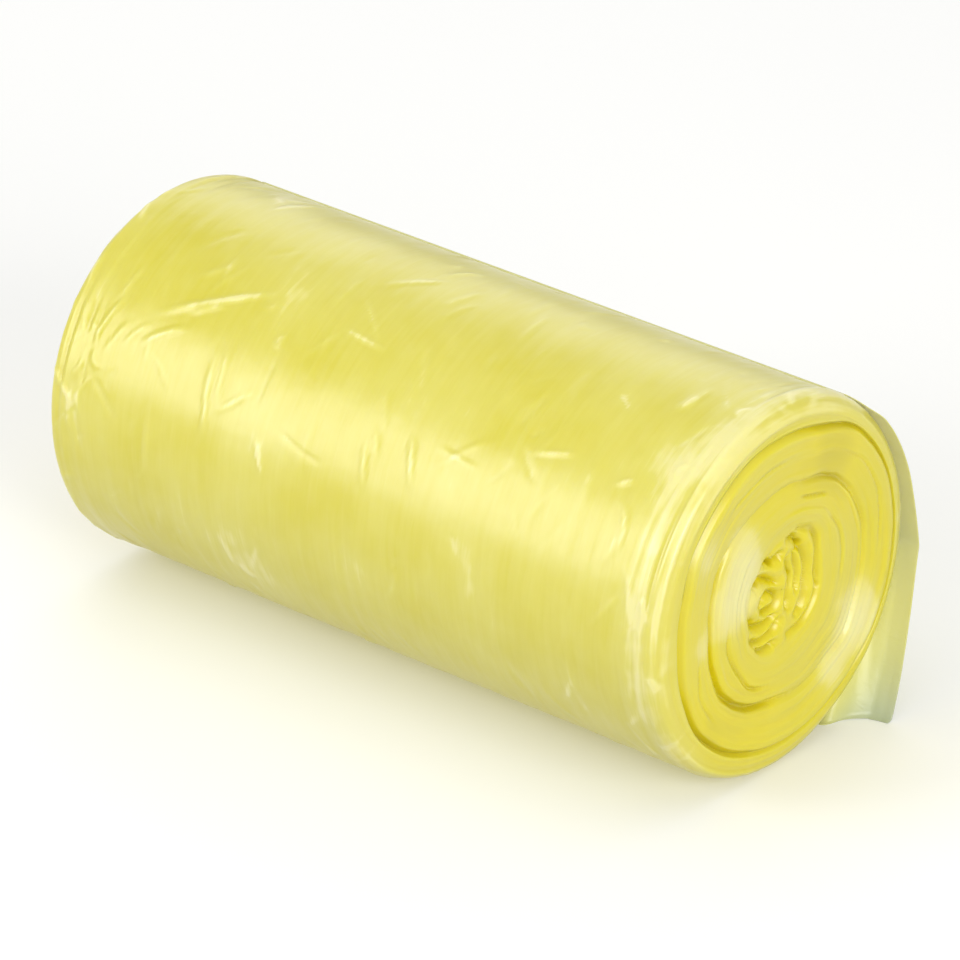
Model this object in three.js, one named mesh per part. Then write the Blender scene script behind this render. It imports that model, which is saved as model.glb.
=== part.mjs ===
// A roll of garbage bags. Thin plastic bags, joined end to end at perforations, are folded
// lengthwise and wound up without a core. The roll lies on its side on a level surface, and
// the last bag's free end hangs down behind it, with its edge curled under on the surface.
//
// Millimetres, +Z up, +X along the roll. The origin is on the surface, under the middle of
// the roll. The free end hangs on the +Y side, and stands out past the +X end of the roll.

import * as THREE from "three";

// The folded web: a bag's width and the number of times that it lies over itself
const bagWidth = 500;
const foldsAcross = 4;

// The wound roll
const rollDiameter = 62;
const shoulderRadius = 2.5; // the folded edges of the outer turns are rounded
const rollSides = 48; // facets around the roll, one of them level on the surface
const shoulderSteps = 4;

// The turns as they show on both ends: a spiral groove between groups of turns
const groovePitch = 6.2;
const grooveDepth = 1.1;
const grooveWidth = 3.8;
const grooveStart = 150; // degrees from +Y, where the groove leaves the shoulder
const ringSpacing = 0.9; // of the rings of vertices that carry the groove

// The collapsed middle, where no core was left in
const hollowDiameter = 11;
const hollowFloorDiameter = 4;
const hollowDepth = 3.5;

// The free end of the last bag. Angles are degrees up from the roll's back.
const filmThickness = 0.6; // the layers of film with the air between them
const filmClearance = 0.3; // between the free end and the turn below it
const leaveAngle = 46; // where the film parts from the turn below it
const dropAngle = -10; // where it goes over into a straight drop
const dropStandOff = 1.8; // how far it has lifted from the roll there
const dropLean = 21; // degrees that the drop leans in under the roll
const curlRadius = 2.4; // of the bend onto the surface
const footLength = 6.5; // flat on the surface, towards the roll's underside
const sidewaysSlip = 4.7; // the drop drifts this far towards +X
const slipStart = 40; // height above the surface where the drift begins
const cornerReturn = 7.5; // the foot's +X corner is drawn back by this much
const cornerSpan = 40; // width of the foot that is drawn back with the corner
const arcSteps = 10;
const curlSteps = 4;
const widthSteps = 10;

const webWidth = bagWidth / foldsAcross;
const rollRadius = rollDiameter / 2;
const axisHeight = rollRadius * Math.cos(Math.PI / rollSides);
const faceRadius = rollRadius - shoulderRadius;

const woundFilm = new THREE.MeshStandardMaterial({
  name: "wound film",
  color: 0xe6da68,
  roughness: 0.35,
  metalness: 0,
});
const looseFilm = new THREE.MeshStandardMaterial({
  name: "loose film",
  color: 0xd2d4a4,
  roughness: 0.3,
  metalness: 0,
  transparent: true,
  opacity: 0.7,
});

function smooth(from, to, value) {
  const share = THREE.MathUtils.clamp((value - from) / (to - from), 0, 1);
  return share * share * (3 - 2 * share);
}

// How far the end face lies below its outer plane, at a radius and an angle in radians. The
// groove follows the web, whose radius falls as the angle grows.
function faceDepth(radius, angle) {
  const turns = (faceRadius - radius) / groovePitch;
  const phase = (angle - THREE.MathUtils.degToRad(grooveStart)) / (2 * Math.PI);
  const offGroove = Math.abs(turns - phase - Math.round(turns - phase)) * groovePitch;
  const share = Math.min(offGroove / (grooveWidth / 2), 1);
  const groove = (grooveDepth * (1 + Math.cos(Math.PI * share))) / 2;
  const atShoulder = 1 - smooth(faceRadius - ringSpacing, faceRadius, radius);
  const offHollow = smooth(hollowFloorDiameter / 2, hollowDiameter / 2, radius);
  return groove * atShoulder * offHollow + hollowDepth * (1 - offHollow);
}

// Half of the roll's outline, from the middle of one end over its shoulder
function halfOutline(end) {
  const points = [];
  const rings = Math.round(faceRadius / ringSpacing);
  for (let ring = 0; ring <= rings; ring++) {
    points.push(new THREE.Vector2((faceRadius * ring) / rings, (end * webWidth) / 2));
  }
  for (let step = 1; step <= shoulderSteps; step++) {
    const turn = ((Math.PI / 2) * step) / shoulderSteps;
    const out = shoulderRadius * Math.sin(turn);
    const back = shoulderRadius * (1 - Math.cos(turn));
    points.push(new THREE.Vector2(faceRadius + out, end * (webWidth / 2 - back)));
  }
  return points;
}

// Turned about the roll's axis, then the groove and the hollow are pressed into both ends
function woundBags() {
  const outline = [...halfOutline(-1), ...halfOutline(1).reverse()];
  const geometry = new THREE.LatheGeometry(outline, rollSides, Math.PI / rollSides);
  const places = geometry.getAttribute("position");
  for (let i = 0; i < places.count; i++) {
    const along = places.getY(i);
    const radius = Math.hypot(places.getX(i), places.getZ(i));
    const angle = Math.atan2(places.getX(i), places.getZ(i)) + Math.PI / 2;
    if (radius <= faceRadius) {
      places.setY(i, along - Math.sign(along) * faceDepth(radius, angle));
    }
  }
  const mesh = new THREE.Mesh(geometry, woundFilm);
  mesh.name = "wound_bags";
  mesh.rotation.z = -Math.PI / 2;
  mesh.position.z = axisHeight;
  return mesh;
}

function alongArc(centre, radius, degrees) {
  const angle = THREE.MathUtils.degToRad(degrees);
  const arm = new THREE.Vector2(Math.cos(angle), Math.sin(angle));
  return arm.multiplyScalar(radius).add(centre);
}

// The middle of the free end's thickness in the plane across the roll: round its back,
// straight down, and round the curl onto the surface
function filmPath() {
  const axis = new THREE.Vector2(0, axisHeight);
  const touching = rollRadius + filmClearance + filmThickness / 2;
  const path = [];
  for (let step = 0; step <= arcSteps; step++) {
    const share = step / arcSteps;
    const angle = THREE.MathUtils.lerp(leaveAngle, dropAngle, share);
    path.push(alongArc(axis, touching + dropStandOff * share * share, angle));
  }
  const dropTop = path[arcSteps];
  const curlHeight = filmThickness / 2 + curlRadius;
  const lean = THREE.MathUtils.degToRad(dropLean);
  const curlStart = curlHeight - curlRadius * Math.sin(lean);
  const dropFoot = dropTop.x - (dropTop.y - curlStart) * Math.tan(lean);
  const curl = new THREE.Vector2(dropFoot - curlRadius * Math.cos(lean), curlHeight);
  for (let step = 0; step <= curlSteps; step++) {
    path.push(alongArc(curl, curlRadius, THREE.MathUtils.lerp(-dropLean, -90, step / curlSteps)));
  }
  path.push(new THREE.Vector2(curl.x - footLength, filmThickness / 2));
  return path;
}

// The section of a strip of even thickness along a path
function stripSection(path, thickness) {
  const left = [];
  const right = [];
  path.forEach((point, i) => {
    const before = path[Math.max(i - 1, 0)];
    const after = path[Math.min(i + 1, path.length - 1)];
    const way = after.clone().sub(before).normalize();
    const side = new THREE.Vector2(-way.y, way.x).multiplyScalar(thickness / 2);
    left.push(point.clone().add(side));
    right.push(point.clone().sub(side));
  });
  return new THREE.Shape([...left, ...right.reverse()]);
}

// Drawn along the roll, then skewed: the drop drifts towards +X and one corner is drawn back
function looseEnd() {
  const path = filmPath();
  const geometry = new THREE.ExtrudeGeometry(stripSection(path, filmThickness), {
    depth: webWidth,
    steps: widthSteps,
    bevelEnabled: false,
  });
  const footEnd = path[path.length - 1].x;
  const places = geometry.getAttribute("position");
  for (let i = 0; i < places.count; i++) {
    const back = places.getX(i);
    const height = places.getY(i);
    const across = places.getZ(i);
    const slip = sidewaysSlip * (1 - smooth(0, slipStart, height));
    const onFoot = 1 - smooth(footEnd, footEnd + footLength + curlRadius, back);
    const isLow = 1 - smooth(0, curlRadius, height - filmThickness);
    const atCorner = smooth(webWidth - cornerSpan, webWidth, across);
    const drawnBack = cornerReturn * onFoot * isLow * atCorner;
    places.setZ(i, across - webWidth / 2 + slip - drawnBack);
  }
  const mesh = new THREE.Mesh(geometry, looseFilm);
  mesh.name = "loose_end";
  mesh.rotation.set(Math.PI / 2, Math.PI / 2, 0);
  return mesh;
}

const garbageBagRoll = new THREE.Group();
garbageBagRoll.name = "garbage_bag_roll";
garbageBagRoll.add(woundBags(), looseEnd());

export default garbageBagRoll;
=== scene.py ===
import math

import bpy
import numpy as np
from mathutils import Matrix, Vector, noise


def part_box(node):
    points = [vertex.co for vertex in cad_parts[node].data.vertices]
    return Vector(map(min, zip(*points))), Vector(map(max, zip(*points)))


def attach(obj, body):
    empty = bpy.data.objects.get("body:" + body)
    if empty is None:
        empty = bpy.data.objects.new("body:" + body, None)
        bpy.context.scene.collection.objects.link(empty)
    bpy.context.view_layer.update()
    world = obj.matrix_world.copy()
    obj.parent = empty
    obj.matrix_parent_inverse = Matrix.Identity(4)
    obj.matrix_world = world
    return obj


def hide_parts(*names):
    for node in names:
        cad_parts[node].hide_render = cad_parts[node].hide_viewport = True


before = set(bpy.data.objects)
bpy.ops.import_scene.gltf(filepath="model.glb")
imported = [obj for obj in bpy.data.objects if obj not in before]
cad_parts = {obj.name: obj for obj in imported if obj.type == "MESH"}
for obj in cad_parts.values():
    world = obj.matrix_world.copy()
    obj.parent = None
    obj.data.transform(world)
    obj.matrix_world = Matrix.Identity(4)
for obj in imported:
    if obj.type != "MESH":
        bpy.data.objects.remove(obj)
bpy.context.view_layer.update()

mm = 0.001
rollLow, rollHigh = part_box("wound_bags")
rollLength = (rollHigh[0] - rollLow[0]) / mm
rollRadius = (rollHigh[2] - rollLow[2]) / 2 / mm
print("roll", round(rollLength, 2), "long,", round(rollRadius, 2), "radius in mm")


# colours and materials

def filmColour(hexCode, alpha=1.0):
    # sRGB hex to the linear values that a shader socket takes
    parts = [int(hexCode[i:i + 2], 16) / 255 for i in (0, 2, 4)]
    linear = [c / 12.92 if c <= 0.04045 else ((c + 0.055) / 1.055) ** 2.4 for c in parts]
    return (*linear, alpha)


def addNode(material, kind, settings=None, inputs=None, links=None):
    # settings are attributes, inputs are socket values, links are (socket, node, output)
    node = material.node_tree.nodes.new(kind)
    for name, value in (settings or {}).items():
        setattr(node, name, value)
    for socket, value in (inputs or {}).items():
        node.inputs[socket].default_value = value
    for socket, source, output in links or []:
        material.node_tree.links.new(source.outputs[output], node.inputs[socket])
    return node


def newMaterial(name):
    material = bpy.data.materials.new(name)
    material.use_nodes = True
    material.node_tree.nodes.clear()
    return material


def finishMaterial(material, surface):
    output = addNode(material, "ShaderNodeOutputMaterial")
    material.node_tree.links.new(surface.outputs[0], output.inputs["Surface"])
    return material


def setStops(ramp, stops):
    elements = ramp.color_ramp.elements
    while len(elements) < len(stops):
        elements.new(1.0)
    for element, (place, colour) in zip(elements, stops):
        element.position = place
        element.color = colour


woundFilmLook = {
    "base": "D2C83E",       # layers that cling to each other
    "airy": "D9D162",       # with a little air between them
    "milky": "E8E196",      # with more air, and on creases; also painted highlights
    "tintStops": (0.5, 0.85, 1.0),  # where those three come as the air grows
    "deep": "DDCE0E",       # the stack seen edge on; also the painted shade in grooves, under the lip and below the middle
    "pit": "9E8E12",        # painted shade, darkest down in grooves and pits
    "blotch": 16.0,         # mm, where layers cling and where air lies between them
    "streak": (1.1, 12.0),  # mm across and along the creases that run with the web
    "streakTint": 0.35,     # how much the streaks show in the colour
    "streakDepth": 0.05,    # mm
    "crinkle": (2.6, 7.0),  # mm, sharp little crinkles, coarser than the real ones so they show
    "crinkleDepth": 0.022,  # mm
    "roughness": 0.34,
    "ior": 1.54,            # polyethylene
    "glow": 0.5,            # share of the light that enters the stack
    "glowReach": (1.0, 0.85, 0.2),  # for red, green and blue
    "glowDepth": 3.0,       # mm
    "coat": 0.4,
    "coatRoughness": 0.28,
}


def stretchedNoise(material, place, output, scale, settings, inputs):
    # noise with its own size along each axis, in mm
    stretch = addNode(material, "ShaderNodeVectorMath", {"operation": "MULTIPLY"},
                      links=[(0, place, output)])
    stretch.inputs[1].default_value = [1 / size for size in scale]
    return addNode(material, "ShaderNodeTexNoise", settings, {"Scale": 1.0, **inputs},
                   [("Vector", stretch, 0)])


def woundFilmMaterial():
    # Blown high-density polyethylene film, many layers wound tight. The stack is milky and
    # glows where light enters it, with a waxy gloss that breaks up on fine crinkles.
    look = woundFilmLook
    material = newMaterial("blown_polyethylene_film_wound")
    place = addNode(material, "ShaderNodeTexCoord")
    # mm across the film edges, then mm in the plane across the roll
    turns = addNode(material, "ShaderNodeAttribute", {"attribute_name": "turnPlace"})
    depth = addNode(material, "ShaderNodeAttribute", {"attribute_name": "filmDepthAndPaintedLight"})
    hazeAndHighlight = addNode(material, "ShaderNodeAttribute", {"attribute_name": "filmHazeAndPaintedLight"})

    blotch = addNode(material, "ShaderNodeTexNoise", {"noise_dimensions": "3D"},
                     {"Scale": 1 / (look["blotch"] * mm), "Detail": 3.0, "Roughness": 0.55},
                     [("Vector", place, "Object")])
    across, along = look["streak"]
    streak = stretchedNoise(material, turns, "Vector", (across, along, along), {},
                            {"Detail": 3.0, "Roughness": 0.6, "Distortion": 0.3})
    airy = addNode(material, "ShaderNodeMath", {"operation": "MULTIPLY_ADD"},
                   links=[(0, streak, "Fac"), (2, blotch, "Fac")])
    airy.inputs[1].default_value = look["streakTint"]
    hazy = addNode(material, "ShaderNodeMath", {"operation": "ADD"},
                   links=[(0, airy, 0), (1, hazeAndHighlight, "Fac")])
    tint = addNode(material, "ShaderNodeValToRGB", links=[("Fac", hazy, 0)])
    airColours = [filmColour(look[name]) for name in ("base", "airy", "milky")]
    setStops(tint, list(zip(look["tintStops"], airColours)))
    layered = addNode(material, "ShaderNodeMix", {"data_type": "RGBA", "blend_type": "MIX"},
                      {"B": filmColour(look["deep"])},
                      [("Factor", depth, "Fac"), ("A", tint, "Color")])
    beyond = addNode(material, "ShaderNodeMath", {"operation": "SUBTRACT", "use_clamp": True},
                     links=[(0, depth, "Fac")])
    beyond.inputs[1].default_value = 1.0
    colour = addNode(material, "ShaderNodeMix", {"data_type": "RGBA", "blend_type": "MIX"},
                     {"B": filmColour(look["pit"])},
                     [("Factor", beyond, 0), ("A", layered, "Result")])

    across, along = look["crinkle"]
    crinkle = stretchedNoise(material, turns, "Vector", (across, along, along),
                             {"noise_type": "RIDGED_MULTIFRACTAL"},
                             {"Detail": 2.5, "Roughness": 0.6, "Distortion": 0.9})
    crinkled = addNode(material, "ShaderNodeBump", inputs={
        "Strength": 1.0, "Distance": look["crinkleDepth"] * mm},
        links=[("Height", crinkle, "Fac")])
    streaked = addNode(material, "ShaderNodeBump", inputs={
        "Strength": 1.0, "Distance": look["streakDepth"] * mm},
        links=[("Height", streak, "Fac"), ("Normal", crinkled, "Normal")])
    film = addNode(material, "ShaderNodeBsdfPrincipled", inputs={
        "Roughness": look["roughness"],
        "IOR": look["ior"],
        "Subsurface Weight": look["glow"],
        "Subsurface Radius": look["glowReach"],
        "Subsurface Scale": look["glowDepth"] * mm,
        "Coat Weight": look["coat"],
        "Coat Roughness": look["coatRoughness"],
    }, links=[("Base Color", colour, "Result"), ("Normal", streaked, "Normal")])
    return finishMaterial(material, film)


looseFilmLook = {
    "near": "EAE672",      # where it still lies on the roll and close to it: painted yellow light from the roll
    "far": "B8C4A6",       # a few layers by themselves
    "alpha": 0.62,
    "wrinkle": 1.8,        # mm, coarser than the real ones so that they show
    "wrinkleDepth": 0.08,  # mm
    "roughness": 0.3,
    "ior": 1.54,           # polyethylene
}


def looseFilmMaterial():
    # The same blown film, only a few layers of it: pale, see-through and crinkled.
    look = looseFilmLook
    material = newMaterial("blown_polyethylene_film_loose")
    place = addNode(material, "ShaderNodeTexCoord")
    depth = addNode(material, "ShaderNodeAttribute", {"attribute_name": "filmDepthAndPaintedLight"})
    colour = addNode(material, "ShaderNodeMix", {"data_type": "RGBA", "blend_type": "MIX"},
                     {"A": filmColour(look["far"]), "B": filmColour(look["near"])},
                     [("Factor", depth, "Fac")])
    crinkle = addNode(material, "ShaderNodeTexNoise", {"noise_dimensions": "3D"},
                      {"Scale": 1 / (look["wrinkle"] * mm), "Detail": 3.0,
                       "Roughness": 0.55, "Distortion": 1.0},
                      [("Vector", place, "Object")])
    bump = addNode(material, "ShaderNodeBump", inputs={
        "Strength": 1.0, "Distance": look["wrinkleDepth"] * mm},
        links=[("Height", crinkle, "Fac")])
    film = addNode(material, "ShaderNodeBsdfPrincipled", inputs={
        "Roughness": look["roughness"],
        "IOR": look["ior"],
        "Alpha": look["alpha"],
    }, links=[("Base Color", colour, "Result"), ("Normal", bump, "Normal")])
    return finishMaterial(material, film)


# mesh helpers

seedStep = 7.31   # how far apart two seeds lie in the noise


def softNoise(points, size, seed, octaves=2):
    # smooth noise whose bumps are about size apart; size may differ for each axis
    scaled = points / np.asarray(size, dtype=float) + seed * seedStep
    return np.array([noise.fractal(Vector(p), 1.0, 2.0, octaves) for p in scaled])


def smooth(low, high, value):
    share = np.clip((value - low) / (high - low), 0, 1)
    return share * share * (3 - 2 * share)


def hump(distance, width):
    # 1 in the middle, 0 at width away and beyond
    share = np.clip(np.abs(distance) / width, 0, 1)
    return (1 + np.cos(np.pi * share)) / 2


def fadedEnds(share, reach):
    # 1 along a line, and down to 0 over reach at both of its ends
    return smooth(0, reach, share) * (1 - smooth(1 - reach, 1, share))


def gridMesh(name, points, rows, columns, closed, material, values):
    # rows by columns of points; closed joins the last column to the first. values are the
    # attributes that the material reads: numbers, or three numbers for each point.
    span = columns if closed else columns - 1
    faces = []
    for row in range(rows - 1):
        for column in range(span):
            after = (column + 1) % columns
            low, high = row * columns, (row + 1) * columns
            faces.append((low + column, high + column, high + after, low + after))
    mesh = bpy.data.meshes.new(name)
    mesh.from_pydata((points * mm).tolist(), [], faces)
    mesh.polygons.foreach_set("use_smooth", [True] * len(faces))
    for label, numbers in values.items():
        kind, field = ("FLOAT", "value") if numbers.ndim == 1 else ("FLOAT_VECTOR", "vector")
        layer = mesh.attributes.new(label, kind, "POINT")
        layer.data.foreach_set(field, numbers.astype(np.float32).ravel())
    mesh.materials.append(material)
    mesh.update()
    piece = bpy.data.objects.new(name, mesh)
    bpy.context.scene.collection.objects.link(piece)
    return piece


# the roll's outer turns

outerTurns = {
    "segments": 350,
    "crowd": 0.3,          # how much closer the columns are on the front than at the back
    "crowdTurn": 30,       # degrees that the closest ones lie off the front
    "sideStep": 0.62,      # mm between rings along the roll
    "endStep": 0.36,       # the same near the ends
    "endReach": 7.0,       # mm from the shoulder that the finer rings reach
    "shoulder": 2.7,       # mm, radius of the folded edges
    "shoulderRings": 12,
    "lipRings": 12,        # across the end to the first groove, then down into it
    "lipDepth": 1.5,       # mm
    "lipLeast": 0.15,      # mm, where that groove is shallowest
    "lipWidth": 0.4,       # share of the way to the shoulder that slopes into it
    # heights in mm; sizes in mm along the roll and in the plane across it
    "wave": 0.10,          # broad unevenness of the winding
    "waveSize": (34, 22, 22),
    "streak": 0.11,        # soft ridges that run round the roll
    "streakSize": (3.4, 30, 30),
    "streakShare": 0.6,    # of their height along the side
    "streakMore": 0.6,     # added to that share near the ends
    "streakReach": (18, 2),  # mm from the ends where that starts and is full
    "fineStreak": 0.4,     # share of the streaks' height
    "fineStreakSize": (1.5, 20, 20),
    "crinkle": 0.018,
    "crinkleSize": (2.2, 2.8, 2.8),
    "edgePitch": 0.95,     # mm between the film edges that show on the shoulder
    "edgeHeight": 0.34,
    "edgeFade": (-7, 1),   # mm round the shoulder from the side, where they start and are full
    "edgeCount": 40,       # edges counted from the middle to the shoulder
    "creaseFade": 0.35,    # share of a crease's length that fades at each end
    "seeds": {"wave": 3, "streak": 1, "fineStreak": 2, "crinkle": 4, "edges": 7},
    # depth makes the film's colour deeper and holds painted shade below; haze makes it milkier
    # and holds painted highlight
    "endDepth": 0.4,       # on the ends
    "undersideShadeFrom": 0.35,   # share of the radius below the middle where the painted shade of the lower turns starts
    "undersideShadeDepth": 0.35,
    "undersideShadeHaze": -0.15,
    "edgeHazeAndHighlight": (0.2, 0.25),  # milky film edges and painted highlight, all over the shoulder, and more on its film edges
    "edgeHazeStart": (-7, -1),  # mm round the shoulder
    "edgeHazeEnd": (3, 6),
    "farHaze": 0.4,        # share of it at the far end
    # milky creases, partly painted highlight
    "creaseHazeAndHighlight": 1.3,
}

# First groove on the near end: degrees from +Y towards +Z, and its share of the radius
firstGroove = [(20, 0.905), (45, 0.893), (75, 0.835), (110, 0.86), (145, 0.86), (165, 0.815),
               (182, 0.80), (200, 0.808), (225, 0.845), (245, 0.855), (290, 0.87), (340, 0.90)]

# How much of its depth that groove has, around the end
firstGrooveShare = [(10, 0.3), (40, 0.45), (72, 0.5), (95, 0.12), (125, 0.0), (150, 0.15),
                    (180, 0.6), (215, 1.0), (240, 0.8), (265, 0.3), (300, 0.05), (335, 0.1)]


def aroundCurve(stops, degrees):
    # a smooth closed curve through (degrees, value) stops
    angles = np.array([s[0] for s in stops] + [stops[0][0] + 360.0])
    values = np.array([s[1] for s in stops] + [stops[0][1]])
    turned = (degrees - angles[0]) % 360 + angles[0]
    index = np.clip(np.searchsorted(angles, turned, side="right") - 1, 0, len(angles) - 2)
    share = (turned - angles[index]) / (angles[index + 1] - angles[index])
    share = smooth(0, 1, share)
    return values[index] * (1 - share) + values[index + 1] * share


filmEdgeLook = {
    "bumps": 4,      # that one edge makes in a turn round the roll
    "flat": 0.7,     # share of its width before it goes over into the next edge
}


def filmEdges(count, degrees, seed):
    # Heights, from -1 to 1, of stacked film edges. count is a running number of edges from
    # the middle outwards. The edges follow the spiral, so each runs on into the next one.
    look = filmEdgeLook
    turn = degrees / 360
    whole = np.floor(count + turn)
    share = count + turn - whole
    still = np.zeros_like(turn)
    level, following = [
        softNoise(np.stack([(number - turn) * look["bumps"], still, still], axis=1), 1.0, seed)
        for number in (whole, whole + 1)]
    blend = smooth(look["flat"], 1.0, share)
    return level * (1 - blend) + following * blend


# Creases in the film of the outer turn. Each runs from one end to the other, given as mm
# along the roll and degrees up from its front, with its width and height in mm.
creases = [
    {"ends": ((-46.2, 42.7), (-26.3, 63.1)), "bow": 0.0, "width": 1.1, "height": 0.34},
    {"ends": ((-40.0, 46.0), (-33.0, 53.4)), "bow": 0.3, "width": 0.8, "height": 0.24},
    {"ends": ((-46.5, 32.5), (-38.0, 43.3)), "bow": 0.4, "width": 0.9, "height": 0.26},
    {"ends": ((-55.0, 27.0), (-51.8, 46.5)), "bow": 0.4, "width": 0.9, "height": 0.26},
    {"ends": ((-52.5, 25.0), (-48.6, 40.0)), "bow": 0.4, "width": 0.8, "height": 0.20},
    {"ends": ((-49.5, 30.0), (-45.0, 41.0)), "bow": 0.3, "width": 0.8, "height": 0.18},
    {"ends": ((-28.8, 11.0), (-31.3, 42.0)), "bow": 0.3, "width": 1.2, "height": 0.26},
    {"ends": ((-28.0, 23.0), (-29.4, 43.0)), "bow": 0.0, "width": 0.9, "height": 0.22},
    {"ends": ((-18.8, 20.5), (-16.2, 8.5)), "bow": 0.0, "width": 0.8, "height": 0.24},
    {"ends": ((-12.8, 59.5), (-2.5, 57.0)), "bow": 0.0, "width": 0.9, "height": 0.20},
    {"ends": ((1.6, 32.5), (3.5, 16.5)), "bow": 0.0, "width": 0.9, "height": 0.24},
    {"ends": ((2.6, 35.5), (4.7, 26.0)), "bow": 0.0, "width": 0.8, "height": 0.18},
    {"ends": ((9.5, 38.0), (12.4, 21.5)), "bow": 0.0, "width": 1.0, "height": 0.26},
    {"ends": ((31.0, 44.8), (39.0, 48.8)), "bow": 0.0, "width": 0.8, "height": 0.20},
    {"ends": ((47.3, 44.7), (50.5, 48.0)), "bow": 0.0, "width": 0.8, "height": 0.20},
]
smallCreases = {
    "seed": 11,
    "count": 420,
    "length": (3, 13),       # mm
    "width": (0.6, 1.1),
    "height": (0.06, 0.2),
    "shares": (1, 1, -0.7),  # of the height; some creases are dents
    "lean": 26,              # degrees, how far they turn off the way of the web
    "bow": 0.6,              # mm
    "spread": (-0.49, 0.47),  # half turns of a sine, so that more of them lie near the ends
}


def addCrease(lift, along, around, crease):
    # along and around are mm on the unrolled side
    start, stop = np.array(crease["from"]), np.array(crease["to"])
    size = np.hypot(*(stop - start))
    way = (stop - start) / size
    girth = 2 * math.pi * rollRadius
    dx = along - start[0]
    da = (around - start[1] + girth / 2) % girth - girth / 2
    near = np.flatnonzero(np.hypot(dx, da) < size + crease["width"])
    dx, da = dx[near], da[near]
    down, off = dx * way[0] + da * way[1], da * way[0] - dx * way[1]
    share = np.clip(down / size, 0, 1)
    bowed = off - crease["bow"] * 4 * share * (1 - share)
    fade = fadedEnds(share, outerTurns["creaseFade"])
    lift[near] += crease["height"] * hump(bowed, crease["width"]) * fade


def allCreases():
    perDegree = rollRadius * math.pi / 180
    chosen = []
    for crease in creases:
        (x0, a0), (x1, a1) = crease["ends"]
        chosen.append({**crease, "from": (x0, a0 * perDegree), "to": (x1, a1 * perDegree)})
    look = smallCreases
    draw = np.random.default_rng(look["seed"])
    for _ in range(look["count"]):
        x = math.sin(draw.uniform(*look["spread"]) * math.pi) * rollLength / 2
        a = draw.uniform(0, 2 * math.pi * rollRadius)
        size = draw.uniform(*look["length"])
        lean = math.radians(draw.normal(0, look["lean"]))
        end = (x + size * math.sin(lean), a + size * math.cos(lean))
        chosen.append({"from": (x, a), "to": end, "bow": draw.normal(0, look["bow"]),
                       "width": draw.uniform(*look["width"]),
                       "height": draw.uniform(*look["height"]) * draw.choice(look["shares"])})
    return chosen


def outerRings(columns, grooveRadius, grooveShare):
    # rings from the near end's first groove to the middle: place along the roll, radius,
    # the two shares of the outward direction, and the way from the side round the shoulder
    look = outerTurns
    half, shoulder = rollLength / 2, look["shoulder"]
    faceRadius = rollRadius - shoulder
    quarter = shoulder * math.pi / 2
    rings = []
    for step in range(look["lipRings"] + 1):
        share = step / look["lipRings"]
        deepest = look["lipLeast"] + (look["lipDepth"] - look["lipLeast"]) * grooveShare
        sink = deepest * (1 - smooth(0, look["lipWidth"], share))
        radius = grooveRadius + (faceRadius - grooveRadius) * share
        way = quarter + faceRadius - radius
        rings.append((half - sink, radius, 1.0, 0.0, way))
    for step in range(1, look["shoulderRings"] + 1):
        turn = math.pi / 2 * step / look["shoulderRings"]
        radius = np.full(columns, faceRadius + shoulder * math.sin(turn))
        x = half - shoulder * (1 - math.cos(turn))
        way = np.full(columns, quarter - shoulder * turn)
        rings.append((x, radius, math.cos(turn), math.sin(turn), way))
    start = half - shoulder
    fine = int(look["endReach"] / look["endStep"])
    coarse = int((start - look["endReach"]) / look["sideStep"])
    places = [start - look["endReach"] * s / fine for s in range(1, fine + 1)]
    places += [(start - look["endReach"]) * (1 - s / coarse) for s in range(1, coarse + 1)]
    for x in places:
        rings.append((x, np.full(columns, rollRadius), 0.0, 1.0, np.full(columns, x - start)))
    return rings


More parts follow.
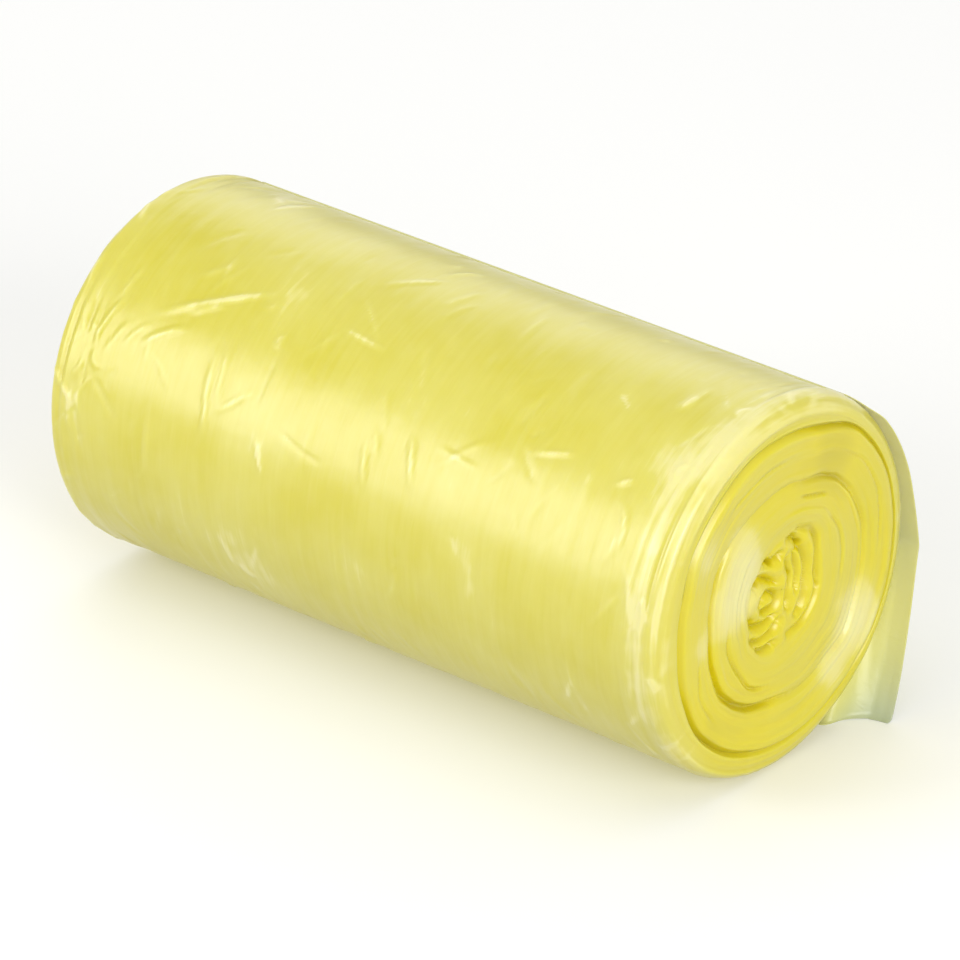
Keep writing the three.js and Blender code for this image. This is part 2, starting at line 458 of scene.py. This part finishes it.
def makeOuterTurns(material):
    look = outerTurns
    half = rollLength / 2
    columns = look["segments"]
    turned = np.arange(columns) * 2 * math.pi / columns
    crowded = np.sin(turned + math.radians(look["crowdTurn"]))
    degrees = np.degrees(turned + look["crowd"] * crowded)
    near = outerRings(columns, aroundCurve(firstGroove, degrees) * rollRadius,
                      aroundCurve(firstGrooveShare, degrees))
    far = [(-x, radius, -nx, nr, way) for x, radius, nx, nr, way in reversed(near[:-1])]
    rings = near + far
    along = np.concatenate([np.zeros(columns) + ring[0] for ring in rings])
    radius = np.concatenate([ring[1] for ring in rings])
    outX = np.concatenate([np.full(columns, ring[2]) for ring in rings])
    outR = np.concatenate([np.full(columns, ring[3]) for ring in rings])
    way = np.concatenate([ring[4] for ring in rings])
    degrees = np.tile(degrees, len(rings))
    theta = np.radians(degrees)
    surface = np.stack([along, radius * np.cos(theta), radius * np.sin(theta)], axis=1)

    seeds = look["seeds"]
    start, full = look["streakReach"]
    nearEnd = smooth(half - start, half - full, np.abs(along))
    around = (180 - degrees) % 360 * rollRadius * math.pi / 180
    streaks = look["streak"] * softNoise(surface, look["streakSize"], seeds["streak"])
    fine = look["fineStreak"] * look["streak"]
    lift = look["wave"] * softNoise(surface, look["waveSize"], seeds["wave"])
    lift += streaks * (look["streakShare"] + look["streakMore"] * nearEnd)
    lift += fine * softNoise(surface, look["fineStreakSize"], seeds["fineStreak"])
    lift += look["crinkle"] * softNoise(surface, look["crinkleSize"], seeds["crinkle"], 3)
    count = way / look["edgePitch"] + look["edgeCount"]
    edges = filmEdges(count, degrees, seeds["edges"])
    lift += look["edgeHeight"] * edges * smooth(*look["edgeFade"], way)
    creased = np.zeros_like(lift)
    for crease in allCreases():
        addCrease(creased, along, around, crease)
    lift += creased * outR
    surface[:, 0] += lift * outX
    grown = radius + lift * outR
    surface[:, 1] = grown * np.cos(theta)
    surface[:, 2] = np.maximum(grown * np.sin(theta) + rollRadius, 0.0)
    # painted shade: the turns below the middle get a deeper, less milky colour
    undersideShade = smooth(look["undersideShadeFrom"], 1.0, -np.sin(theta))
    # milky film edges with painted highlight on the shoulder, less of it at the far end
    allOver, onEdges = look["edgeHazeAndHighlight"]
    onShoulder = smooth(*look["edgeHazeStart"], way) * (1 - smooth(*look["edgeHazeEnd"], way))
    shoulderHazeAndHighlight = (allOver + onEdges * edges) * onShoulder
    # the colour's depth holds the ends' deep colour and the painted shade below; its haze holds
    # milky film and painted highlights
    values = {
        "filmDepthAndPaintedLight": look["endDepth"] * (1 - outR) + look["undersideShadeDepth"] * undersideShade,
        "filmHazeAndPaintedLight": (shoulderHazeAndHighlight * np.where(along > 0, 1.0, look["farHaze"])
                     + look["undersideShadeHaze"] * undersideShade + look["creaseHazeAndHighlight"] * np.abs(creased)),
        "turnPlace": np.stack([np.sign(along) * (half - look["shoulder"] + way),
                               surface[:, 1], surface[:, 2]], axis=1),
    }
    piece = gridMesh("outer_turns", surface, len(rings), columns, True, material, values)
    print("outer turns", len(piece.data.polygons) * 2, "triangles")
    return piece


# the ends of the wound turns

endTurns = {
    "rings": 140,
    "segments": 400,
    "overlap": 0.05,      # share of the radius that lies under the outer turns' lip
    "lipTuck": 1.6,       # mm that the edge lies below the lip
    "edgePitch": 1.5,     # mm between the film edges that stand out
    "edgeHeight": 0.24,
    "finePitch": 0.62,
    "fineHeight": 0.07,
    "bandHeight": 0.55,   # of the rounded groups of turns between two grooves
    "sink": 0.55,         # mm that the turns lie behind the outer ones
    "flushSink": 0.9,     # share of that which is taken back where the first groove fades out
    "flushRise": 0.3,     # mm added there
    "hub": 0.003,         # share of the radius where the innermost ring lies
    "tuckReach": (-0.03, 0.008),  # shares of the radius from the lip
    "tuckLeast": 0.3,     # mm
    "tuckShade": 0.4,     # painted shade: how much deeper the colour gets under the lip
    "warp": 0.010,        # shares of the radius that the lines wander
    "warpSize": 6.0,      # mm
    "coil": (0.29, 0.61, 0.85),  # the turns' running place at the middle, its groove and the lip
    "grooveFade": 0.18,   # share of a groove's length that fades at each end
    "grooveLeast": 0.15,  # share of its depth that stays there
    "grooveRound": 0.8,   # below 1 its floor is wider
    "grooveShade": 0.8,    # painted shade: how much deeper the colour gets in it, for each mm
    "streakStretch": 2.2,  # how much closer the material's streaks lie than on the side
    "seeds": {1: 20, -1: 40},
}

# Colour of the ends. Depth makes the film deeper up to 1 and then dull, and holds painted shade;
# haze makes it milkier, and holds painted highlight.
endTints = {
    "depth": 0.76,
    "depthVaries": 0.2,
    "depthSize": (9.0, 16.0, 1.0),  # mm
    "edgeVaries": 0.2,
    "edgePitch": 1.2,     # mm
    "middleDepth": 0.25,
    "mostDepth": 0.95,
    "shade": 0.42,        # painted shade for grooves, folds and pits
    "mostShade": 0.75,    # the most painted shade outside the middle
    "hazeAndHighlight": -0.05,
    "hazeVaries": 0.12,
    "hazeSize": 7.0,      # mm
}

# Closed lines that the turns run parallel to, as (degrees from +Y towards +Z, share of the
# radius): the groove half way in, and the edge of the squashed middle
middleGroove = [(0, 0.655), (27, 0.645), (41, 0.635), (57, 0.60), (75, 0.565), (110, 0.565),
                (146, 0.58), (182, 0.56), (202, 0.578), (224, 0.61), (260, 0.61), (300, 0.645),
                (320, 0.68), (342, 0.66)]
middleEdge = [(0, 0.295), (20, 0.31), (36, 0.335), (65, 0.315), (100, 0.27), (147, 0.25),
              (200, 0.27), (220, 0.31), (246, 0.33), (290, 0.30), (325, 0.305)]

# Grooves that stand out, as places in shares of the radius (y, z) seen from +X. Width and
# depth in mm.
grooves = [
    {"line": [(0.153, 0.546), (0.327, 0.502), (0.48, 0.415), (0.568, 0.306), (0.644, 0.153),
              (0.655, -0.022), (0.622, -0.218), (0.524, -0.437), (0.327, -0.557)],
     "depth": 0.55, "width": 0.75},
    {"line": [(-0.40, 0.43), (-0.48, 0.328), (-0.546, 0.175), (-0.561, -0.02), (-0.535, -0.218),
              (-0.437, -0.426), (-0.284, -0.546), (-0.11, -0.60), (0.05, -0.61)],
     "depth": 1.1, "width": 0.8},
    {"line": [(0.131, 0.469), (0.24, 0.432), (0.338, 0.397)], "depth": 0.5, "width": 0.45},
    {"line": [(-0.43, -0.05), (-0.41, -0.22), (-0.317, -0.371), (-0.24, -0.459), (-0.12, -0.491)],
     "depth": 0.6, "width": 0.55},
    {"line": [(0.34, 0.30), (0.44, 0.18), (0.475, 0.03), (0.46, -0.12)],
     "depth": 0.35, "width": 0.5},
    {"line": [(-0.67, -0.12), (-0.64, -0.34), (-0.53, -0.53)], "depth": 0.3, "width": 0.45},
    {"line": [(0.42, 0.62), (0.62, 0.48), (0.73, 0.30), (0.77, 0.10), (0.75, -0.12)],
     "depth": 0.3, "width": 0.5},
    {"line": [(-0.45, 0.60), (-0.24, 0.69), (0.02, 0.72)], "depth": 0.3, "width": 0.5},
]

# The squashed middle: creases between folds of film, and pits where they gape
coreCreases = [
    [(0.131, 0.288), (0.218, 0.262), (0.273, 0.197), (0.29, 0.109), (0.293, -0.022),
     (0.284, -0.131), (0.229, -0.218), (0.153, -0.266), (0.06, -0.275)],
    [(0.033, 0.262), (0.109, 0.24), (0.148, 0.175), (0.186, 0.109), (0.197, -0.022),
     (0.175, -0.131), (0.12, -0.19)],
    [(0.044, 0.153), (0.076, 0.055), (0.061, -0.022), (0.055, -0.12)],
    [(0.11, 0.16), (0.13, 0.06), (0.125, -0.05)],
    [(-0.24, 0.10), (-0.186, 0.116), (-0.12, 0.10), (-0.05, 0.06)],
    [(-0.14, 0.20), (-0.076, 0.186), (-0.01, 0.20)],
    [(-0.16, -0.03), (-0.13, 0.008), (-0.08, 0.012), (-0.035, -0.02), (-0.05, -0.065),
     (-0.10, -0.078), (-0.15, -0.06)],
    [(-0.24, -0.197), (-0.153, -0.229), (-0.066, -0.207), (-0.022, -0.164)],
    [(-0.207, -0.262), (-0.131, -0.29), (-0.05, -0.28)],
    [(-0.24, -0.08), (-0.20, -0.13), (-0.12, -0.145), (-0.04, -0.12)],
]
middleLook = {
    "edge": (0.9, 1.12),  # shares of its outline between which it goes over into the turns
    "floor": -1.3,        # mm, the bottom of a fold
    "pillow": 1.7,        # mm that the film between two folds stands out
    "foldWidth": 0.75,    # mm
    "foldShade": 0.35,    # mm, how far the painted shade reaches from a fold
    "creaseFade": 0.12,   # share of a fold's length that fades at each end
    "creaseRise": 0.35,   # mm
    "lump": 0.35,         # mm
    "lumpSize": 4.5,
    "grain": 0.06,        # mm
    "grainSize": 1.3,
    "edges": 0.2,         # share of the film edges' height that still shows
    # painted shade in the pits
    "pitShade": 1.8,
}
corePits = [
    {"centre": (-0.186, 0.116), "size": 0.036, "depth": 1.9},
    {"centre": (-0.076, 0.186), "size": 0.034, "depth": 1.4},
    {"centre": (0.138, 0.186), "size": 0.036, "depth": 1.7},
    {"centre": (0.07, 0.055), "size": 0.024, "depth": 1.0},
    {"centre": (0.288, -0.09), "size": 0.026, "depth": 0.9},
]

# Patches of painted shade, where the colour is deeper, and milky patches, partly air between the
# layers and partly painted highlight: place and size in shares of the radius
paintedShadePatches = [
    {"centre": (0.40, 0.62), "size": 0.55, "strength": 0.35},
    {"centre": (-0.42, -0.62), "size": 0.5, "strength": 0.3},
]
milkyAndHighlightPatches = [
    {"centre": (-0.36, 0.10), "size": 0.32, "strength": 0.8},
    {"centre": (-0.30, 0.34), "size": 0.24, "strength": 0.5},
    {"centre": (0.60, -0.40), "size": 0.34, "strength": 0.7},
    {"centre": (0.40, -0.62), "size": 0.2, "strength": 0.5},
    {"centre": (-0.62, -0.05), "size": 0.16, "strength": 0.4},
    {"centre": (-0.62, 0.42), "size": 0.25, "strength": 0.4},
]


def curveThrough(points, steps=10):
    # a Catmull-Rom curve through given points
    points = np.array(points)
    ends = np.vstack([2 * points[0] - points[1], points, 2 * points[-1] - points[-2]])
    share = np.linspace(0, 1, steps, endpoint=False)[:, None]
    pieces = []
    for a, b, c, d in zip(ends[:-3], ends[1:-2], ends[2:-1], ends[3:]):
        pieces.append(0.5 * (2 * b + (c - a) * share + (2 * a - 5 * b + 4 * c - d) * share ** 2
                             + (3 * b - a - 3 * c + d) * share ** 3))
    return np.vstack(pieces + [points[-1:]])


def awayFrom(y, z, points):
    # distance to a curve and the share of the way along it, for every place
    curve = curveThrough(points)
    best = np.full(len(y), np.inf)
    where = np.zeros(len(y))
    for index, (cy, cz) in enumerate(curve):
        distance = np.hypot(y - cy, z - cz)
        closer = distance < best
        best = np.where(closer, distance, best)
        where = np.where(closer, index / (len(curve) - 1), where)
    return best, where


def endRelief(y, z, seed):
    # how far the end stands out at a place, in mm; y and z are shares of the radius
    look = endTurns
    flat = np.stack([y, z, np.zeros_like(y)], axis=1) * rollRadius
    warp = look["warp"] * softNoise(flat, look["warpSize"], seed)
    bend = look["warp"] * softNoise(flat, look["warpSize"], seed + 1)
    y, z = y + warp, z + bend
    radius = np.hypot(y, z)
    degrees = np.degrees(np.arctan2(z, y)) % 360

    edge, middle = aroundCurve(middleEdge, degrees), aroundCurve(middleGroove, degrees)
    outer = aroundCurve(firstGroove, degrees)
    # a running number that is the same all along the turns
    first, second, last = look["coil"]
    inside = first * radius / edge
    between = first + (radius - edge) / (middle - edge) * (second - first)
    outside = second + (radius - middle) / (outer - middle) * (last - second)
    coil = np.where(radius < edge, inside, np.where(radius < middle, between, outside))
    across = coil * rollRadius
    height = look["edgeHeight"] * filmEdges(across / look["edgePitch"], degrees, seed + 2)
    height += look["fineHeight"] * filmEdges(across / look["finePitch"], degrees, seed + 3)
    for low, high in ((edge, middle), (middle, outer)):
        share = np.clip((radius - low) / (high - low), 0, 1)
        height += look["bandHeight"] * np.sqrt(np.clip(4 * share * (1 - share), 0, 1))

    # painted shade: grooves, folds and pits get a deeper, then darker colour
    deep = np.zeros_like(radius)
    for groove in grooves:
        off, where = awayFrom(y, z, groove["line"])
        fade = fadedEnds(where, look["grooveFade"])
        kept = look["grooveLeast"] + (1 - look["grooveLeast"]) * fade
        cut = hump(off * rollRadius, groove["width"]) ** look["grooveRound"] * kept
        height -= groove["depth"] * cut
        deep = np.maximum(deep, cut * groove["depth"] * look["grooveShade"])

    fold = np.full(len(y), np.inf)
    for crease in coreCreases:
        off, where = awayFrom(y, z, crease)
        fade = fadedEnds(where, middleLook["creaseFade"])
        fold = np.minimum(fold, off * rollRadius + middleLook["creaseRise"] * (1 - fade))
    pillow = 1 - np.exp(-fold / middleLook["foldWidth"])
    core = middleLook["floor"] + middleLook["pillow"] * pillow
    core += middleLook["lump"] * softNoise(flat, middleLook["lumpSize"], seed + 4)
    core += middleLook["grain"] * softNoise(flat, middleLook["grainSize"], seed + 5)
    deep = np.maximum(deep, np.exp(-fold / middleLook["foldShade"]))
    for pit in corePits:
        off = np.hypot(y - pit["centre"][0], z - pit["centre"][1])
        dent = hump(off, pit["size"])
        core -= pit["depth"] * dent
        deep = np.maximum(deep, middleLook["pitShade"] * dent)
    inCore = 1 - smooth(*middleLook["edge"], radius / edge)
    height = height * (1 - inCore) + (core + middleLook["edges"] * height) * inCore

    tints = endTints
    deep = np.where(inCore > 0.5, deep, np.minimum(deep, tints["mostShade"]))
    depth = tints["depth"] + tints["depthVaries"] * softNoise(flat, tints["depthSize"], seed + 7)
    depth += tints["edgeVaries"] * filmEdges(across / tints["edgePitch"], degrees, seed + 8)
    depth = np.minimum(depth + tints["middleDepth"] * inCore, tints["mostDepth"])
    depth += tints["shade"] * deep
    # patches of painted shade, where the colour gets deeper
    for patch in paintedShadePatches:
        off = np.hypot(y - patch["centre"][0], z - patch["centre"][1])
        depth += patch["strength"] * hump(off, patch["size"])
    uneven = tints["hazeVaries"] * softNoise(flat, tints["hazeSize"], seed + 6)
    hazeAndHighlight = tints["hazeAndHighlight"] + uneven * (1 - inCore)
    # milky patches, partly air between the layers and partly painted highlight
    for patch in milkyAndHighlightPatches:
        off = np.hypot(y - patch["centre"][0], z - patch["centre"][1])
        hazeAndHighlight += patch["strength"] * hump(off, patch["size"])
        depth -= patch["strength"] * hump(off, patch["size"])
    share = aroundCurve(firstGrooveShare, degrees)
    flush = smooth(middle, outer, radius) * (1 - share)
    height = height - look["sink"] * (1 - look["flushSink"] * flush) + look["flushRise"] * flush
    return {"height": height, "depth": depth, "across": across, "hazeAndHighlight": hazeAndHighlight}


def makeEndTurns(name, side, material):
    look = endTurns
    rings, columns = look["rings"], look["segments"]
    degrees = np.arange(columns) * 360.0 / columns
    outer = aroundCurve(firstGroove, degrees) + look["overlap"]
    shares = np.linspace(look["hub"], 1, rings)
    radius = (shares[:, None] * outer[None, :]).ravel()
    degrees = np.tile(degrees, rings)
    theta = np.radians(degrees)
    y, z = radius * np.cos(theta), radius * np.sin(theta)
    relief = endRelief(y, z, look["seeds"][side])
    lip = aroundCurve(firstGroove, degrees)
    start, full = look["tuckReach"]
    tucked = smooth(lip + start, lip + full, radius)
    share = aroundCurve(firstGrooveShare, degrees)
    tuck = look["tuckLeast"] + (look["lipTuck"] - look["tuckLeast"]) * share
    height = relief["height"] * (1 - tucked) - tuck * tucked
    x = side * (rollLength / 2 + height)
    points = np.stack([x, y * rollRadius, z * rollRadius + rollRadius], axis=1)
    # painted shade under the lip
    depth = relief["depth"] + look["tuckShade"] * tucked * share
    turnPlace = relief["across"] * look["streakStretch"]
    values = {
        "filmDepthAndPaintedLight": np.clip(depth, 0, 2),
        "filmHazeAndPaintedLight": relief["hazeAndHighlight"],
        "turnPlace": np.stack([turnPlace, points[:, 1], points[:, 2]], axis=1),
    }
    piece = gridMesh(name, points, rings, columns, True, material, values)
    if side < 0:
        piece.data.flip_normals()
    print(name, len(piece.data.polygons) * 2, "triangles")
    return piece


# the free end of the last bag

looseEnd = {
    "across": 200,         # columns and rows of its mesh
    "down": 120,
    "crowd": 1.25,         # above 1 the columns lie closer at the +X edge, where it is folded
    "thickness": 0.12,     # mm
    "slip": 4.1,           # mm, drift towards +X down to the surface
    "slipStart": 36,       # mm above the surface
    "slipAtRoot": 0.4,     # mm, the same where it leaves the roll
    "slipReach": (0.02, 0.14),  # shares of the way down
    "rootInset": 3.2,      # mm that its root is narrower on each side
    "insetReach": (0.02, 0.16),
    # its path in the plane across the roll; angles are degrees up from the roll's back
    "leaveAngle": 57,
    "dropAngle": -9,
    "arcSteps": 60,
    "rootSink": -0.5,      # mm, its root lies in the outer turn
    "rootRise": 0.85,      # mm that it rises from there
    "rootReach": 0.05,     # share of the arc
    "standOff": 2.0,       # mm that it has lifted from the roll where it starts to drop
    "standOffCurve": 2.6,  # above 1 it hugs the roll for longer
    "hug": (0.08, 0.3),    # shares of the arc where it lets go of the roll's shoulder
    "mostTurn": 1.2,       # radians that it bends round the shoulder
    "lean": 21,            # degrees that it leans in under the roll
    "curl": 0.8,           # mm, radius of the bend onto the surface
    "curlSteps": 14,
    "foot": 0.4,           # mm that lie on the surface
    "footReach": 27,       # mm above the surface where the foot's line starts to show
    "clearance": 0.05,     # mm between the film and the surface
    "gap": 0.22,           # mm between it and the roll where it would cut in
    "gapFrom": 0.2,        # share of the way down
    # unevenness: heights in mm, sizes in mm across and down
    "wave": 0.72,
    "waveSize": (18, 60, 1),
    "smallWave": 0.24,
    "smallWaveSize": (5, 22, 1),
    "waveInwards": -0.8,   # the most towards the roll
    "waveReach": (0.3, 0.7),  # shares of the way down
    "footWave": 0.625,     # share of the wave that lifts the foot
    "footHeight": (6, 1),  # mm above the surface
    "ridge": 0.24,
    "ridgeSize": (3.2, 26, 1),
    "crinkle": 0.10,
    "crinkleSize": (2.4, 3.4, 1),
    "ridgeReach": (0.03, 0.1),  # shares of the way down
    "calmEdge": (-3, 9),   # mm from the +X edge, where the ridges grow
    "crease": 0.42,        # thin creases where the film has been crumpled
    "creaseSize": (16, 11, 1),
    "bendSize": (34, 15, 1),
    "sharpness": 7,
    "creaseReach": (1, 16),  # mm from the +X edge
    # painted light: mm off the roll from which the roll's yellow stops showing on it, and how
    # fast
    "paleReach": (0.8, 9.0),
    "paleCurve": 0.7,
    "seed": 60,
}
# Where it meets the surface: mm from its +X edge, and mm behind the middle of the roll. The
# corner flares back, and beside it the edge is folded forwards.
footLine = [(0, 22.8), (1.5, 22.6), (3.4, 22.0), (5.2, 20.1), (6.1, 18.8), (6.8, 16.2),
            (7.8, 15.4), (9.5, 16.0), (15, 16.8), (24, 15.4), (36, 16.8), (52, 15.6), (70, 17.4),
            (88, 16.2), (104, 17.6), (125, 19.0)]


def loosePath(count):
    # the film in the plane across the roll, and how far it still follows the roll's shoulder
    look = looseEnd
    path = []
    swing = look["dropAngle"] - look["leaveAngle"]
    for share in np.linspace(0, 1, look["arcSteps"]):
        angle = math.radians(look["leaveAngle"] + swing * share)
        off = look["rootSink"] + look["rootRise"] * smooth(0, look["rootReach"], share)
        off += look["standOff"] * share ** look["standOffCurve"]
        path.append(((rollRadius + off) * math.cos(angle),
                     rollRadius + (rollRadius + off) * math.sin(angle)))
    onRoll = len(path)
    lean = math.radians(look["lean"])
    low = look["thickness"] / 2 + look["clearance"]
    centreZ = low + look["curl"]
    y, z = path[-1]
    stop = centreZ - look["curl"] * math.sin(lean)
    curlY = y - (z - stop) * math.tan(lean) - look["curl"] * math.cos(lean)
    for turn in np.linspace(lean, math.pi / 2, look["curlSteps"]):
        path.append((curlY + look["curl"] * math.cos(turn),
                     centreZ - look["curl"] * math.sin(turn)))
    path.append((curlY - look["foot"], low))
    path = np.array(path)
    run = np.concatenate([[0], np.cumsum(np.hypot(*np.diff(path, axis=0).T))])
    at = np.linspace(0, run[-1], count)
    letsGo = [run[int(onRoll * share)] for share in look["hug"]]
    hug = 1 - smooth(*letsGo, at)
    return np.interp(at, run, path[:, 0]), np.interp(at, run, path[:, 1]), hug, run[-1]


def makeLooseEnd(material):
    look = looseEnd
    y, z, hug, drop = loosePath(look["down"])
    landing = y[-1] + look["foot"] + look["curl"]
    rows, columns = look["down"], look["across"]
    half, shoulder = rollLength / 2, outerTurns["shoulder"]
    downShare = np.repeat(np.linspace(0, 1, rows), columns)
    y, z, hug = np.repeat(y, columns), np.repeat(z, columns), np.repeat(hug, columns)
    across = np.linspace(0, 1, columns)
    x = np.tile(half * (1 - 2 * across ** look["crowd"]), rows)
    fromEdge = half - x
    x = x * (1 - look["rootInset"] / half * (1 - smooth(*look["insetReach"], downShare)))
    # round the shoulder at its root, then straight past the end of the roll
    past = np.maximum(np.abs(x) - (half - shoulder), 0)
    turn = np.minimum(past / shoulder, look["mostTurn"]) * hug
    x = np.sign(x) * (np.minimum(np.abs(x), half - shoulder) + shoulder * np.sin(turn)
                      + past * (1 - hug))
    inward = shoulder * (1 - np.cos(turn))
    radial = np.hypot(y, z - rollRadius)
    y = y * (1 - inward / radial)
    z = rollRadius + (z - rollRadius) * (1 - inward / radial)
    x = x + look["slipAtRoot"] * smooth(*look["slipReach"], downShare)
    x = x + look["slip"] * (1 - smooth(0, look["slipStart"], z))

    flat = np.stack([fromEdge, downShare * drop, np.zeros_like(x)], axis=1)
    foot = np.interp(fromEdge, *np.array(footLine).T)
    y = y + (foot - landing) * (1 - smooth(0, look["footReach"], z))
    free = smooth(*look["waveReach"], downShare)
    seed = look["seed"]
    wave = look["wave"] * softNoise(flat, look["waveSize"], seed)
    wave += look["smallWave"] * softNoise(flat, look["smallWaveSize"], seed + 1)
    crinkle = look["crinkle"] * softNoise(flat, look["crinkleSize"], seed + 2)
    low = smooth(*look["footHeight"], z)
    y = y + np.maximum(wave * free * (1 - low), look["waveInwards"])
    ridges = look["ridge"] * softNoise(flat, look["ridgeSize"], seed + 3) + crinkle
    ridges = ridges * smooth(*look["calmEdge"], fromEdge)
    crease = (1 - np.abs(softNoise(flat, look["creaseSize"], seed + 4))) ** look["sharpness"]
    bend = (1 - np.abs(softNoise(flat, look["bendSize"], seed + 5))) ** look["sharpness"]
    ridges = ridges + look["crease"] * (crease + bend) * smooth(*look["creaseReach"], fromEdge)
    y = y + ridges * smooth(*look["ridgeReach"], downShare)
    lifted = z + look["footWave"] * np.abs(wave) * low
    z = np.maximum(lifted, look["thickness"] / 2)
    # it can't cut into the roll
    radial = np.hypot(y, z - rollRadius)
    least = np.where(downShare > look["gapFrom"], rollRadius + look["gap"], 0)
    grow = np.maximum(least / radial, 1)
    y, z = y * grow, rollRadius + (z - rollRadius) * grow
    z = np.maximum(z, look["thickness"] / 2)
    points = np.stack([x, y, z], axis=1)
    offRoll = np.hypot(y, z - rollRadius) - rollRadius
    # painted light: near the roll the film takes the roll's yellow
    values = {"filmDepthAndPaintedLight": 1 - smooth(*look["paleReach"], offRoll) ** look["paleCurve"]}
    piece = gridMesh("loose_bag_end", points, rows, columns, False, material, values)
    body = piece.modifiers.new("film", "SOLIDIFY")
    body.thickness = look["thickness"] * mm
    body.offset = 0
    print("loose end", round(drop, 1), "mm of film")
    return piece, drop


# camera, light and floor

view = {
    "azimuth": 40.21,
    "elevation": 27.23,
    "distance": 1.163,             # metres from the roll's middle
    "lens": 277.7,                 # mm
    "sensor": 36,                  # mm
    "sight": 20,                   # metres
    "rollCentre": (469.8, 468.8),  # pixel of the roll's middle in the 960 pixel frame
    "framePixels": 960,
}


def viewDirection(azimuth, elevation):
    a, e = math.radians(azimuth), math.radians(elevation)
    return Vector((math.sin(a) * math.cos(e), -math.cos(a) * math.cos(e), math.sin(e)))


def makeCamera():
    data = bpy.data.cameras.new("camera")
    data.lens = view["lens"]
    data.sensor_width = view["sensor"]
    data.clip_end = view["sight"]
    size = view["framePixels"]
    data.shift_x = (size / 2 - view["rollCentre"][0]) / size
    data.shift_y = (view["rollCentre"][1] - size / 2) / size
    camera = bpy.data.objects.new("camera", data)
    direction = viewDirection(view["azimuth"], view["elevation"])
    camera.location = Vector((0, 0, rollRadius * mm)) + direction * view["distance"]
    camera.rotation_euler = direction.to_track_quat("Z", "Y").to_euler()
    bpy.context.scene.collection.objects.link(camera)
    bpy.context.scene.camera = camera


# from is azimuth and elevation in degrees; the sizes are across and up in metres
lights = [
    {"name": "key_left", "from": (-37, 20), "distance": 0.75, "size": (0.4, 0.44), "watts": 2.6},
    {"name": "fill_right", "from": (66, 20), "distance": 0.9, "size": (0.5, 0.5), "watts": 5.0},
    {"name": "back_left", "from": (215, 28), "distance": 0.9, "size": (0.8, 0.5), "watts": 1.5},
    {"name": "overhead", "from": (20, 84), "distance": 0.9, "size": (0.8, 0.8), "watts": 1.4},
]


roomLight = 0.53   # strength of the white room around the set


def makeLights():
    middle = Vector((0, 0, rollRadius * mm))
    for lamp in lights:
        data = bpy.data.lights.new(lamp["name"], "AREA")
        data.shape = "RECTANGLE"
        data.size, data.size_y = lamp["size"]
        data.energy = lamp["watts"]
        light = bpy.data.objects.new(lamp["name"], data)
        direction = viewDirection(*lamp["from"])
        light.location = middle + direction * lamp["distance"]
        light.rotation_euler = direction.to_track_quat("Z", "Y").to_euler()
        bpy.context.scene.collection.objects.link(light)
    world = bpy.data.worlds.new("studio")
    world.use_nodes = True
    background = world.node_tree.nodes["Background"]
    background.inputs["Color"].default_value = (1.0, 1.0, 1.0, 1.0)
    background.inputs["Strength"].default_value = roomLight
    bpy.context.scene.world = world


floorLook = {
    "paper": "F6F6F4",
    "roughness": 0.9,
    "gloss": 0.1,
    "glow": 0.06,   # the sweep is lit a little brighter than the roll
    "reach": 6.0,   # metres to each side
}


def makeFloor():
    # Matt white paper: no gloss to speak of, so the roll leaves only a soft shadow on it.
    look = floorLook
    material = newMaterial("matt_white_paper_sweep")
    paper = addNode(material, "ShaderNodeBsdfPrincipled", inputs={
        "Base Color": filmColour(look["paper"]), "Roughness": look["roughness"],
        "Specular IOR Level": look["gloss"], "Emission Color": filmColour("FFFFFF"),
        "Emission Strength": look["glow"]})
    finishMaterial(material, paper)
    mesh = bpy.data.meshes.new("floor")
    reach = look["reach"]
    mesh.from_pydata([(-reach, -reach, 0), (reach, -reach, 0), (reach, reach, 0),
                      (-reach, reach, 0)], [], [(0, 1, 2, 3)])
    mesh.materials.append(material)
    floor = bpy.data.objects.new("floor", mesh)
    bpy.context.scene.collection.objects.link(floor)
    # little of its light is thrown back up, so that the roll's underside stays in shade
    floor.visible_diffuse = False


makeCamera()
makeLights()
makeFloor()
bpy.context.scene.view_settings.view_transform = "Standard"

woundFilm = woundFilmMaterial()
looseFilm = looseFilmMaterial()

side = makeOuterTurns(woundFilm)
nearEnd = makeEndTurns("near_end_turns", 1, woundFilm)
farEnd = makeEndTurns("far_end_turns", -1, woundFilm)
for piece in (side, nearEnd, farEnd):
    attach(piece, "root")
    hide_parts("wound_bags")

looseBagEnd, filmDrop = makeLooseEnd(looseFilm)
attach(looseBagEnd, "root")
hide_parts("loose_end")
